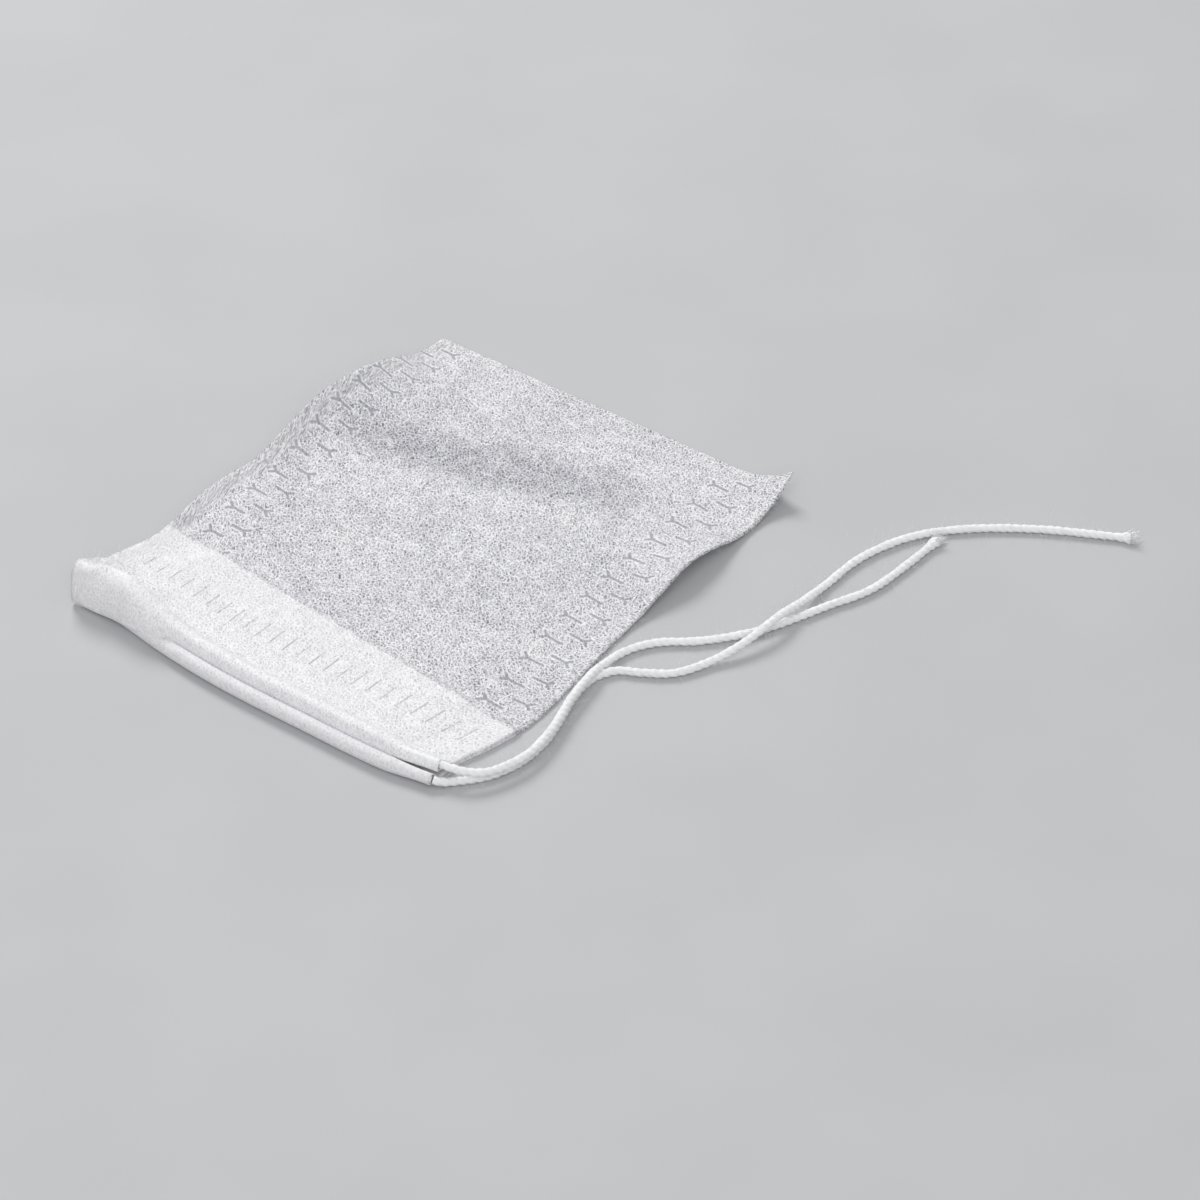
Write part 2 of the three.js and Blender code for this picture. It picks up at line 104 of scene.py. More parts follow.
# Where the part's frame lies from the measure of the pairs
ORIGIN = np.array([-0.945, 1.121, 0.0])

# Places that follow from the sizes
HALF_WIDTH = BAG_WIDTH / 2
BOTTOM_Y = MOUTH_Y + BAG_LENGTH
CASING_RADIUS = (STRING_DIAMETER + SHEET) / 2 + STRING_CLEARANCE
FLAT_RADIUS = (SHEET + PLY_GAP) / 2
BACK_STRING_Y = MOUTH_Y + SHEET / 2 + CASING_RADIUS
FRONT_STRING_Y = BACK_STRING_Y + CASING_STAGGER
BACK_STRING_Z = SHEET / 2 + CASING_RADIUS
FRONT_STRING_Z = SHEET / 2 + 2 * (SHEET + PLY_GAP) + CASING_RADIUS + CASING_RISE
TURN_X = -HALF_WIDTH + TURN_FROM_EDGE
CASING_FULL_X = TURN_X - TURN_RADIUS - CASING_FULL_PAST_TURN
TURN_RISE = BACK_STRING_Z + math.sqrt((2 * TURN_RADIUS) ** 2 - CASING_STAGGER ** 2) - FRONT_STRING_Z
DASH_Y = MOUTH_Y + DASH_FROM_MOUTH


def lerp(start, end, share):
    return start + (end - start) * share


def ramp(value, start, end):
    """A smooth rise from 0 at start to 1 at end."""
    t = np.clip((value - start) / (end - start), 0, 1)
    return t ** 3 * (t * (t * 6 - 15) + 10)


def through(pairs, place):
    """A smooth curve through pairs of place and value."""
    at, value = np.array(pairs, float).T
    slope = np.gradient(value, at, edge_order=1)
    slope[1:-1] = (value[2:] - value[:-2]) / (at[2:] - at[:-2])
    place = np.clip(place, at[0], at[-1])
    i = np.clip(np.searchsorted(at, place, side="right") - 1, 0, len(at) - 2)
    span = at[i + 1] - at[i]
    t = (place - at[i]) / span
    blend = t * t * (3 - 2 * t)
    turn = t * (1 - t) * ((1 - t) * slope[i] - t * slope[i + 1])
    return value[i] * (1 - blend) + value[i + 1] * blend + span * turn


def waves(x, y, length, seed):
    """A smooth uneven field between about -1 and 1, with features of about one length."""
    chance = np.random.default_rng(seed)
    count = 9
    angles = chance.uniform(0, math.pi, count)
    stretches = chance.uniform(0.7, 1.5, count)
    phases = chance.uniform(0, 2 * math.pi, count)
    total = 0
    for angle, stretch, phase in zip(angles, stretches, phases):
        along = (x * math.cos(angle) + y * math.sin(angle)) * 2 * math.pi / (length * stretch)
        total = total + np.sin(along + phase + 0.9 * np.sin(0.37 * along + 2 * phase))
    return total / (count / 2)


def ply_gap(x):
    """Gap between two plies: pressed together along the side welds."""
    inset = HALF_WIDTH - np.abs(x)
    return lerp(PRESSED_GAP, PLY_GAP, ramp(inset, PRESSED_TO_INSET, LOOSE_FROM_INSET))


def level(n, x):
    """Height of the middle of the nth ply of a flat stack."""
    return SHEET / 2 + n * (SHEET + ply_gap(x))


def lift(x, y):
    """How far both panels are lifted off the table at a place."""
    at_corner = 1 - ramp(y, MOUTH_Y + CORNER_FROM_MOUTH, MOUTH_Y + CORNER_TO_MOUTH)
    width = lerp(LEFT_LIFT_WIDTH, CORNER_STEEP, at_corner)
    rise = lerp(through(LEFT_EDGE_RISE, y), CORNER_RISE, at_corner)
    in_left = np.clip(1 - (x + HALF_WIDTH) / width, 0, 1)
    in_right = np.clip(1 - (HALF_WIDTH - x) / RIGHT_LIFT_WIDTH, 0, 1)
    return rise * in_left ** LEFT_LIFT_POWER + through(RIGHT_EDGE_RISE, y) * in_right ** RIGHT_LIFT_POWER


def gape(x, y):
    """How far the string's turn at the closed corner holds the front panel up."""
    return through(CORNER_GAPE, x) * (1 - ramp(y, MOUTH_Y + GAPE_FROM_MOUTH, MOUTH_Y + GAPE_TO_MOUTH))


def billow(x, y):
    """How far the front panel swells between the side welds."""
    return through(FRONT_BILLOW, y) * (1 - ramp(np.abs(x), BILLOW_FROM, HALF_WIDTH - BILLOW_TO_EDGE))


def hem_line(x):
    """Place along the bag of a hem's inner edge."""
    return MOUTH_Y + lerp(HEM_DEPTH_LEFT, HEM_DEPTH_RIGHT, (x + HALF_WIDTH) / BAG_WIDTH)


def casing_radius(x):
    return lerp((SHEET + ply_gap(x)) / 2, CASING_RADIUS, ramp(x, -HALF_WIDTH, CASING_FULL_X))


def casing_y(x):
    return MOUTH_Y + SHEET / 2 + casing_radius(x)


def front_casing(x):
    """Place, height and radius of the front casing at a station."""
    radius = casing_radius(x)
    full = np.clip((radius - FLAT_RADIUS) / (CASING_RADIUS - FLAT_RADIUS), 0, 1)
    staggered = ramp(x, STACKED_TO, STAGGERED_FROM)
    rise = CASING_RISE * full + STACKED_LIFT * (1 - staggered)
    return casing_y(x) + CASING_STAGGER * staggered, level(2, x) + radius + rise, radius


def bowed(x, y, z):
    """Where a place of the flat bag lies once its edges have bowed, in the part's frame."""
    near_mouth = 1 - ramp(y, MOUTH_Y + MOUTH_BOW_FULL, MOUTH_Y + MOUTH_BOW_REACH)
    near_right = ramp(x, RIGHT_BOW_FROM, HALF_WIDTH)
    places = [x + through(RIGHT_EDGE_BOW, y) * near_right, y + through(MOUTH_BOW, x) * near_mouth, z]
    return np.stack(np.broadcast_arrays(*places), axis=-1) + ORIGIN


# Camera: the photograph's own angle, from far off
CAMERA_AZIMUTH = math.radians(-37.795)
CAMERA_HEIGHT = math.radians(36.527)
CAMERA_DISTANCE = 702.36
CAMERA_TARGET = Vector((20.87, 4.03, 0)) + Vector(ORIGIN)


def add_camera():
    forward = Vector((
        math.sin(CAMERA_AZIMUTH) * math.cos(CAMERA_HEIGHT),
        math.cos(CAMERA_AZIMUTH) * math.cos(CAMERA_HEIGHT),
        -math.sin(CAMERA_HEIGHT),
    ))
    data = bpy.data.cameras.new("camera")
    data.lens = 180
    data.sensor_width = 36
    data.clip_start = 0.05
    data.clip_end = 10
    camera = bpy.data.objects.new("camera", data)
    camera.location = (CAMERA_TARGET - forward * CAMERA_DISTANCE) * MM
    camera.rotation_euler = forward.to_track_quat("-Z", "Y").to_euler()
    bpy.context.collection.objects.link(camera)
    bpy.context.scene.camera = camera


add_camera()


# String: the route of the part's source, from one cut end to the other
SHORT_TAIL = [
    (45.6, 37.2, 0.5), (45.6, 31.5, 0.5), (45.1, 24.5, 0.5), (43, 18.9, 0.5), (41, 13.4, 0.5),
    (38.9, 9, 0.5), (35.2, 4.2, 0.5), (31.5, 0.9, 0.5), (29.7, -2.6, 0.5), (29.6, -6.2, 0.9),
    (30.1, -9.9, 1.45), (31.2, -14.9, 1.55), (32.4, -18.6, 1.55), (33.25, -22.1, 1.55),
    (33.6, -25.7, 1.55), (33, -28.8, 1.55), (31.9, -31.3, 1.6), (30.2, -32.8, 1.85),
]
LONG_TAIL = [
    (63.5, 51.8, 0.5), (53.5, 46.4, 0.5), (46.6, 41, 0.5), (42.6, 35.8, 0.5), (40.5, 29, 0.5),
    (40.4, 22.5, 0.5), (40.7, 17, 1.2), (40.8, 12, 1.95), (40.3, 6.6, 1.4), (39, 2.4, 0.7),
    (36.7, -2.4, 0.5), (33.6, -4.7, 0.5), (31.2, -6.1, 0.5), (30, -8.6, 0.5), (30, -11.4, 0.5),
    (30.8, -14.6, 0.5), (32, -18.2, 0.5), (32.9, -21.7, 0.5), (33.1, -25.2, 0.5), (32.6, -28.4, 0.5),
    (31.5, -30.9, 0.5), (30, -32.9, 0.5), (28.6, -34.6, 0.7),
]
TURN_ANGLES = (60, 30, 0, -30, -60)
STRING_STEP = 0.22
STRING_SIDES = 24
STRING_PLIES = 3
STRING_CORE = 0.355
STRING_LOBE = 0.155
LOBE_POWER = 0.75
TWIST_PITCH = 3.0
UNEVENNESS = 0.05
END_FLARE = 0.32
FLARE_LENGTH = 2.2
STRING_LOWEST = 0.01


def casing_run():
    """The string's way through both casings, with its turn at the closed corner."""
    def front(x):
        z = FRONT_STRING_Z + TURN_RISE * through(STRING_RISE, x) + lift(x, FRONT_STRING_Y)
        return bowed(x, FRONT_STRING_Y, z)

    def back(x):
        return bowed(x, BACK_STRING_Y, BACK_STRING_Z + lift(x, BACK_STRING_Y))

    middle = (front(TURN_X) + back(TURN_X)) / 2
    up = front(TURN_X) - middle
    front_places = [*np.linspace(HALF_WIDTH, 0, 4), *np.linspace(STRING_LEVEL_FROM, TURN_X, 5)]
    back_places = [TURN_X, TURN_X + BACK_RUN_FROM_TURN, *np.linspace(0, HALF_WIDTH, 4)]
    turn = []
    for degrees in TURN_ANGLES:
        angle = math.radians(degrees)
        turn.append(middle + up * math.sin(angle) + np.array([-TURN_RADIUS * math.cos(angle), 0, 0]))
    return [*map(front, front_places), *turn, *map(back, back_places)]


def catmull_rom(points, per_span):
    """A centripetal curve through points, with as many samples in each span."""
    points = np.array(points, float)
    ends = np.vstack([2 * points[0] - points[1], points, 2 * points[-1] - points[-2]])
    steps = np.sqrt(np.linalg.norm(np.diff(ends, axis=0), axis=1))
    t = np.linspace(0, 1, per_span, endpoint=False)[:, None]
    samples = []
    for i in range(len(points) - 1):
        a, b, c, d = ends[i:i + 4]
        before, span, after = steps[i:i + 3]
        out = span * ((b - a) / before - (c - a) / (before + span) + (c - b) / span)
        into = span * ((c - b) / span - (d - b) / (span + after) + (d - c) / after)
        samples.append(
            b + out * t + (3 * (c - b) - 2 * out - into) * t ** 2 + (2 * (b - c) + out + into) * t ** 3
        )
    return np.vstack([*samples, points[-1:]])


def evenly(points, step):
    """The same line with points an even step apart, and the length at each point."""
    along = np.concatenate([[0], np.cumsum(np.linalg.norm(np.diff(points, axis=0), axis=1))])
    places = np.linspace(0, along[-1], int(round(along[-1] / step)) + 1)
    return np.stack([np.interp(places, along, points[:, k]) for k in range(3)], axis=1), places


def string_line():
    """The whole string's middle line, its length at each point, and where each tail joins the bag."""
    short = [np.array(p) + ORIGIN for p in SHORT_TAIL]
    long = [np.array(p) + ORIGIN for p in reversed(LONG_TAIL)]
    held = casing_run()
    samples = 24
    dense = catmull_rom([*short, *held, *long], samples)
    dense[:, 2] = np.maximum(dense[:, 2], STRING_DIAMETER / 2)
    lengths = np.concatenate([[0], np.cumsum(np.linalg.norm(np.diff(dense, axis=0), axis=1))])
    joins = [lengths[len(short) * samples], lengths[(len(short) + len(held) - 1) * samples]]
    line, along = evenly(dense, STRING_STEP)
    return line, along, joins


def frames_along(line):
    """A line's direction and two directions square to it at each point, without twist."""
    tangents = np.gradient(line, axis=0)
    tangents /= np.linalg.norm(tangents, axis=1)[:, None]
    side = np.cross(tangents[0], [0, 0, 1.0])
    side /= np.linalg.norm(side)
    sides = []
    for tangent in tangents:
        side = side - tangent * (side @ tangent)
        side /= np.linalg.norm(side)
        sides.append(side)
    sides = np.array(sides)
    return tangents, sides, np.cross(tangents, sides)


def mesh_object(name, vertices, faces, smooth=True):
    """A mesh object from points in millimetres."""
    data = bpy.data.meshes.new(name)
    data.from_pydata((np.asarray(vertices) * MM).tolist(), [], [list(map(int, f)) for f in faces])
    data.validate()
    data.shade_smooth() if smooth else data.shade_flat()
    made = bpy.data.objects.new(name, data)
    bpy.context.collection.objects.link(made)
    return made


def tube(line, ring_radii, sides, ups):
    """Vertices and faces of a closed tube whose rings may be of any outline."""
    count, around = ring_radii.shape
    angles = np.linspace(0, 2 * math.pi, around, endpoint=False)
    rings = line[:, None] + ring_radii[..., None] * (
        np.cos(angles)[None, :, None] * sides[:, None] + np.sin(angles)[None, :, None] * ups[:, None]
    )
    vertices = [*rings.reshape(-1, 3), line[0], line[-1]]
    here = np.arange(around)
    after = (here + 1) % around
    faces = []
    for ring in range(count - 1):
        a, b = ring * around, (ring + 1) * around
        faces += np.stack([a + here, a + after, b + after, b + here], axis=1).tolist()
    first, last = count * around, count * around + 1
    end = (count - 1) * around
    faces += [[first, b, a] for a, b in zip(here, after)]
    faces += [[last, end + a, end + b] for a, b in zip(here, after)]
    return vertices, faces


string_points, string_along, string_joins = string_line()
string_tangents, string_sides, string_ups = frames_along(string_points)
string_length = string_along[-1]


def string_piece(name, start, end):
    """The twisted string between two lengths along it, and its middle line in metres."""
    chosen = (string_along >= start - 1e-6) & (string_along <= end + 1e-6)
    along = string_along[chosen]
    line = string_points[chosen]
    angles = np.linspace(0, 2 * math.pi, STRING_SIDES, endpoint=False)
    twist = 2 * math.pi * along / TWIST_PITCH
    lobes = np.abs(np.cos(STRING_PLIES / 2 * (angles[None] - twist[:, None])))
    swell = 1 + UNEVENNESS * np.sin(along * 1.7) * np.sin(along * 0.43 + 1)
    from_end = np.minimum(along, string_length - along)
    flare = 1 + END_FLARE * (1 - ramp(from_end, 0, FLARE_LENGTH))
    radii = (STRING_CORE + STRING_LOBE * lobes ** LOBE_POWER) * (swell * flare)[:, None]
    vertices, faces = tube(line, radii, string_sides[chosen], string_ups[chosen])
    vertices = np.array(vertices)
    vertices[:, 2] = np.maximum(vertices[:, 2], STRING_LOWEST)
    piece = mesh_object(name, vertices, faces)
    return piece, line * MM


short_tail, short_path = string_piece("short_tail", 0, string_joins[0])
held_string, _ = string_piece("held_string", string_joins[0], string_joins[1])
long_tail, long_path = string_piece("long_tail", string_joins[1], string_length)


# Fibres that stand off the string and off the cut edges
FIBRE_WOBBLE = 0.22
FIBRE_TIP = 0.5
FUZZ_FROM_END = 1.0
FUZZ_PER_MM = 12
FUZZ_ROOT = 0.42
FUZZ_SHORTEST = 0.3
FUZZ_LONGEST = 5.0
FUZZ_THICKNESS = 0.026
FRAY_COUNT = 110
FRAY_RADIUS = 0.55
FRAY_THICKNESS = 0.07


def fibre_tufts(name, roots, directions, lengths, thickness, seed, curl, segments=5):
    """Thin curling fibres, each a three-sided tube from a root."""
    chance = np.random.default_rng(seed)
    vertices, faces = [], []
    for root, direction, length in zip(roots, directions, lengths):
        heading = direction / np.linalg.norm(direction)
        bend = chance.normal(size=3) * curl
        point = np.array(root, float)
        line = [point]
        for _ in range(segments):
            heading = heading + bend / segments + chance.normal(size=3) * FIBRE_WOBBLE * curl
            heading /= np.linalg.norm(heading)
            point = point + heading * length / segments
            point[2] = max(point[2], thickness)
            line.append(point)
        line = np.array(line)
        _, sides, ups = frames_along(line)
        radii = np.repeat(np.linspace(1, FIBRE_TIP, segments + 1)[:, None] * thickness / 2, 3, axis=1)
        made, built = tube(line, radii, sides, ups)
        offset = len(vertices)
        vertices += list(made)
        faces += [[offset + k for k in face] for face in built]
    return mesh_object(name, vertices, faces)


def string_fuzz(name, start, end, seed):
    """The loose fibres along one tail."""
    chance = np.random.default_rng(seed)
    count = int((end - start) * FUZZ_PER_MM)
    places = chance.uniform(start, end, count)
    chosen = np.searchsorted(string_along, places).clip(1, len(string_along) - 2)
    angle = chance.uniform(0, 2 * math.pi, count)
    outward = np.cos(angle)[:, None] * string_sides[chosen] + np.sin(angle)[:, None] * string_ups[chosen]
    roots = string_points[chosen] + outward * FUZZ_ROOT
    way = chance.choice([-1, 1], count)[:, None] * string_tangents[chosen]
    off, on = chance.uniform(0.3, 1, count), chance.uniform(0.2, 1, count)
    directions = outward * off[:, None] + way * on[:, None]
    lengths = chance.gamma(1.8, 0.6, count).clip(FUZZ_SHORTEST, FUZZ_LONGEST)
    return fibre_tufts(name, roots, directions, lengths, FUZZ_THICKNESS, seed + 1, curl=1.1)


def end_fray(name, at_start, seed):
    """The loose fibres of a cut end."""
    chance = np.random.default_rng(seed)
    count = FRAY_COUNT
    index = 1 if at_start else len(string_along) - 2
    outward = -string_tangents[index] if at_start else string_tangents[index]
    angle = chance.uniform(0, 2 * math.pi, count)
    radius = FRAY_RADIUS * np.sqrt(chance.uniform(0, 1, count))
    across = np.cos(angle)[:, None] * string_sides[index] + np.sin(angle)[:, None] * string_ups[index]
    behind = chance.uniform(0, 0.8, count)
    roots = string_points[index] + across * radius[:, None] - outward * behind[:, None]
    directions = outward + across * radius[:, None] * chance.uniform(0.2, 1.1, count)[:, None]
    lengths = chance.uniform(0.7, 1.9, count)
    return fibre_tufts(name, roots, directions, lengths, FRAY_THICKNESS, seed + 1, curl=0.35, segments=4)


short_fuzz = string_fuzz("short_tail_fuzz", FUZZ_FROM_END, string_joins[0], seed=11)
long_fuzz = string_fuzz("long_tail_fuzz", string_joins[1], string_length - FUZZ_FROM_END, seed=21)
short_fray = end_fray("short_tail_fray", at_start=True, seed=31)
long_fray = end_fray("long_tail_fray", at_start=False, seed=41)


# Bag: one folded sheet, each ply a run of rows between its folds
STATION_STEP = 0.4
FRONT_ROWS = 196
BACK_ROWS = 58
RIDGE_FALL = 3.0
TIP_Y = -34.8
TIP_TO = -26.5
TIP_CLEAR_FROM = -22.0
STACK_FULL_TO = -22.0
STACK_CLEAR_FROM = -12.0
EDGE_OVERHANG = 0.05
BACK_PUSHED_IN = 0.28
DRAWN_IN = 0.26
DRAWN_IN_FROM = 20.0
DRAWN_IN_TO = 27.0
HEM_STEP_FROM = 0.1
HEM_STEP_TO = 1.2
CREASE = 0.13
CREASE_LENGTH = 11.0
FINE_CREASE = 0.05
FINE_CREASE_LENGTH = 4.5
HEM_STIFFNESS = 0.75
PINNED_TO = -24.0
PINNED_TO_MOUTH = 5.0
UNPINNED_FROM_MOUTH = 9.0
WALL_OUT = 0.9
WALL_UP = 0.8
WALL_POWERS = (2.2, 0.4)
WALL_END = 0.97
BACK_FLAP_TO_CASING = 1.5
EDGE_TURN = 0.11
BEND_FROM = -20.0
BEND_CLEARANCE = 0.25
FLAP_FROM_EDGE = 0.6
FLAP_LANDS_PAST = 2.2
ROW_GAP = 0.3
RAGGED = 0.06
FINE_RAGGED = 0.03
FOLD_EDGE = [(-27.5, 0.3), (-24, 0.4), (-20, 1.0), (-15, 1.45), (-10, 1.5), (27.5, 1.5)]


def stations_across():
    count = int(round(BAG_WIDTH / STATION_STEP))
    return np.linspace(-HALF_WIDTH, HALF_WIDTH, count + 1)


def ridge_line(x):
    """Place along the bag of the ridge over the front string."""
    return np.maximum(front_casing(x)[0], lerp(TIP_Y, FRONT_STRING_Y, ramp(x, TIP_TO, TIP_CLEAR_FROM)))


def drawn_in(x):
    """How much tighter the casings are where the string leaves them."""
    return DRAWN_IN * ramp(x, DRAWN_IN_FROM, DRAWN_IN_TO)


def stacked(x):
    """How much of the front casing lies on the back one."""
    return 1 - ramp(x, STACK_FULL_TO, STACK_CLEAR_FROM)


def front_panel_z(x, y):
    """Height of the front panel's middle, with the string's ridge and small creases."""
    _, height, radius = front_casing(x)
    ridge = ridge_line(x)
    in_hem = 1 - ramp(y, hem_line(x) + HEM_STEP_FROM, hem_line(x) + HEM_STEP_TO)
    open_height = level(1, x) + billow(x, y)
    climb = (height + radius - drawn_in(x) - level(3, x)) * (1 - ramp(y, ridge - 0.1, ridge + RIDGE_FALL))
    inset = HALF_WIDTH - np.abs(x)
    loose = ramp(inset, 1, 7) * ramp(BOTTOM_Y - y, 0.5, 4) * (1 - HEM_STIFFNESS * in_hem)
    creases = CREASE * waves(x, y, CREASE_LENGTH, 3) + CREASE
    creases = creases + FINE_CREASE * waves(x, y, FINE_CREASE_LENGTH, 4)
    return lerp(open_height, level(3, x), in_hem) + climb + lift(x, y) + gape(x, y) + creases * loose


def arc(y, z, radius, start, end, rows):
    """Rows round a centre at every station, from one angle to another."""
    angles = np.radians(np.linspace(start, end, rows))[None]
    return y[:, None] + radius[:, None] * np.cos(angles), z[:, None] + radius[:, None] * np.sin(angles)


def bent(start, middle, end, share):
    """A curve from start to end that first heads for middle."""
    return (1 - share) ** 2 * start + 2 * share * (1 - share) * middle + share ** 2 * end


def sheet_rows(x):
    """Middle line of the folded sheet at every station: places, heights and which ply each row is."""
    station = x[:, None]
    hem = hem_line(x)
    radius = casing_radius(x)
    casing = front_casing(x)[0]
    back_y = casing_y(x) + BACK_PUSHED_IN * stacked(x)

    def run(start, end, rows):
        share = np.linspace(0, 1, rows)[None]
        return start[:, None] + (end - start)[:, None] * share

    ridge = ridge_line(x)
    edge = casing - radius + drawn_in(x) - EDGE_OVERHANG * stacked(x)
    low = through(FOLD_EDGE, x) + lift(x, edge)
    top = front_panel_z(station, ridge[:, None])[:, 0]

    def closed(y, z, plies_down):
        """Heights of an inner ply, brought up against the front one at the closed end."""
        share = np.clip((ridge[:, None] - y) / (ridge - edge)[:, None], 0, WALL_END)
        wall = low[:, None] + (top - low)[:, None] * (1 - share ** WALL_POWERS[0]) ** WALL_POWERS[1]
        over = np.where(y > ridge[:, None], front_panel_z(station, y), wall)
        near_mouth = 1 - ramp(y, MOUTH_Y + PINNED_TO_MOUTH, MOUTH_Y + UNPINNED_FROM_MOUTH)
        pinned = (1 - ramp(station, -HALF_WIDTH, PINNED_TO)) * near_mouth
        return lerp(z, np.maximum(z, over - plies_down * (SHEET + PRESSED_GAP)), pinned)

    # Back flap, round the back string, back panel, bottom fold and front panel
    parts = []
    fold_radius = (SHEET + ply_gap(x)) / 2
    y = run(hem - BACK_HEM_SHORTER, back_y + BACK_FLAP_TO_CASING, 12)
    parts.append((y, closed(y, level(1, station) + lift(station, y), 2), 0))
    y, z = arc(back_y, SHEET / 2 + radius, radius - drawn_in(x), 30, 270, 18)
    parts.append((y, z + lift(station, y), 0))
    y = run(back_y + ROW_GAP, BOTTOM_Y - fold_radius - 0.05, BACK_ROWS)
    parts.append((y, closed(y, SHEET / 2 + lift(station, y), 3), -1))
    y, z = arc(BOTTOM_Y - fold_radius, SHEET / 2 + fold_radius, fold_radius, -90, 90, 8)
    parts.append((y, z + lift(station, y), 0))
    y = run(BOTTOM_Y - fold_radius - ROW_GAP, ridge, FRONT_ROWS)
    parts.append((y, front_panel_z(station, y), 1))

    # Over the front string, down to the fold, under it, and back to the flap
    angle = np.radians(np.linspace(90, 180, 20)[1:-1])[None]
    out = np.sign(np.cos(angle)) * np.abs(np.cos(angle)) ** WALL_OUT
    y = ridge[:, None] + (ridge - edge)[:, None] * out
    z = low[:, None] + (top - low)[:, None] * np.sin(angle) ** WALL_UP
    parts.append((y, z, 2))
    angle = np.radians(np.linspace(180, 360, 7))[None]
    y = (edge + EDGE_TURN)[:, None] + EDGE_TURN * np.cos(angle)
    parts.append((y, low[:, None] + EDGE_TURN * np.sin(angle), 0))
    inner = (edge + 2 * EDGE_TURN)[:, None]
    over_back = (SHEET / 2 + 2 * radius + BEND_CLEARANCE) * (1 - ramp(x, BEND_FROM, STACK_CLEAR_FROM))
    bend_z = np.maximum(low, over_back)[:, None]
    flap_y = np.maximum(casing[:, None], inner + FLAP_FROM_EDGE) + FLAP_LANDS_PAST
    flap_z = closed(flap_y, level(2, station) + lift(station, flap_y), 1)
    share = np.linspace(0, 1, 12)[None, 1:]
    parts.append((bent(inner, inner, flap_y, share), bent(low[:, None], bend_z, flap_z, share), 0))
    y = run(flap_y[:, 0] + 0.4, hem, 16)
    parts.append((y, closed(y, level(2, station) + lift(station, y), 1), 0))
    places = np.concatenate([part[0] for part in parts], axis=1)
    heights = np.concatenate([part[1] for part in parts], axis=1)
    plies = np.concatenate([np.full(part[0].shape, part[2], float) for part in parts], axis=1)
    return places, heights, plies


def vector_attribute(obj, name, values):
    attribute = obj.data.attributes.new(name, "FLOAT_VECTOR", "POINT")
    attribute.data.foreach_set("vector", np.asarray(values, np.float32).ravel())


def folded_bag():
    """The whole sheet as one closed skin, with its own length and place kept at every point."""
    x = stations_across()
    places, heights, plies = sheet_rows(x)
    station = np.broadcast_to(x[:, None], places.shape)
    dy, dz = np.gradient(places, axis=1), np.gradient(heights, axis=1)
    length = np.hypot(dy, dz)
    no_x = np.zeros_like(station)
    ragged = RAGGED * waves(no_x, places, 1.3, 8) + FINE_RAGGED * waves(no_x, places, 0.5, 9)
    edge = np.sign(station) * (np.abs(station) > HALF_WIDTH - 1e-6) * ragged
    faces_at = []
    for side in (1, -1):
        y = places - side * SHEET / 2 * dz / length
        z = heights + side * SHEET / 2 * dy / length
        faces_at.append(bowed(station + edge, y, z))
    count, rows = places.shape
    grid = np.arange(count * rows).reshape(count, rows)
    a, b = grid[:-1, :-1], grid[1:, :-1]
    c, d = grid[1:, 1:], grid[:-1, 1:]
    upper = np.stack([a, b, c, d], axis=-1).reshape(-1, 4)
    under = count * rows
    lower = np.stack([a, d, c, b], axis=-1).reshape(-1, 4) + under
    rims = []
    for line in (grid[:, 0][::-1], grid[-1, :][::-1], grid[:, -1], grid[0, :]):
        rims.append(np.stack([line[:-1], line[1:], line[1:] + under, line[:-1] + under], axis=-1))
    vertices = np.concatenate([face.reshape(-1, 3) for face in faces_at])
    vertices[:, 2] = np.maximum(vertices[:, 2], 0.0)
    bag = mesh_object("filter_bag_sheet", vertices, np.concatenate([upper, lower, *rims]))
    along = np.cumsum(length, axis=1)
    weave = np.stack([station, along, np.zeros_like(along)], axis=-1).reshape(-1, 3)
    place = np.stack([station, places, plies], axis=-1).reshape(-1, 3)
    vector_attribute(bag, "weave", np.concatenate([weave, weave + [0, 0, 1]]))
    vector_attribute(bag, "place", np.concatenate([place, place]))
    return bag


bag = folded_bag()


# Fibres along the cut side edges
EDGE_FIBRES = 700
EDGE_FIBRE_LONGEST = 1.8
EDGE_FIBRE_THICKNESS = 0.03
EDGE_FIBRE_SPREAD = 0.07
EDGE_FIBRE_INSET = 0.15
MOUTH_SHARE = 0.22
UPPER_SHARE = 0.6


def edge_roots(x, rows, chance):
    """Places and outward directions along a cut side edge, more of them at the mouth."""
    near_mouth = chance.uniform(0, 1, rows) < MOUTH_SHARE
    mouth_y = MOUTH_Y + chance.uniform(1.4, 9, rows)
    y = np.where(near_mouth, mouth_y, chance.uniform(MOUTH_Y + 3, BOTTOM_Y - 0.5, rows))
    side = np.full(rows, float(x))
    upper = chance.uniform(0, 1, rows) < UPPER_SHARE
    z = np.where(upper, front_panel_z(side, y), SHEET / 2 + lift(side, y))
    z = z + chance.uniform(-EDGE_FIBRE_SPREAD, EDGE_FIBRE_SPREAD, rows)
    roots = bowed(side * (1 - EDGE_FIBRE_INSET / HALF_WIDTH), y, z)
    out = np.sign(x) * chance.uniform(0.3, 1, rows)
    on = chance.normal(0, 0.8, rows)
    up = np.abs(chance.normal(0.05, 0.3, rows)) * np.where(near_mouth, 3, 0.6)
    return roots, np.stack([out, on, up], axis=1)


def edge_fibres():
    """The loose fibres along both cut side edges."""
    chance = np.random.default_rng(51)
    left, left_way = edge_roots(-HALF_WIDTH, EDGE_FIBRES, chance)
    right, right_way = edge_roots(HALF_WIDTH, EDGE_FIBRES, chance)
    roots, ways = np.vstack([left, right]), np.vstack([left_way, right_way])
    lengths = chance.gamma(2, 0.24, 2 * EDGE_FIBRES).clip(0.15, EDGE_FIBRE_LONGEST)
    return fibre_tufts("edge_fibres", roots, ways, lengths, EDGE_FIBRE_THICKNESS, 52, curl=0.8, segments=4)


cut_edge_fibres = edge_fibres()


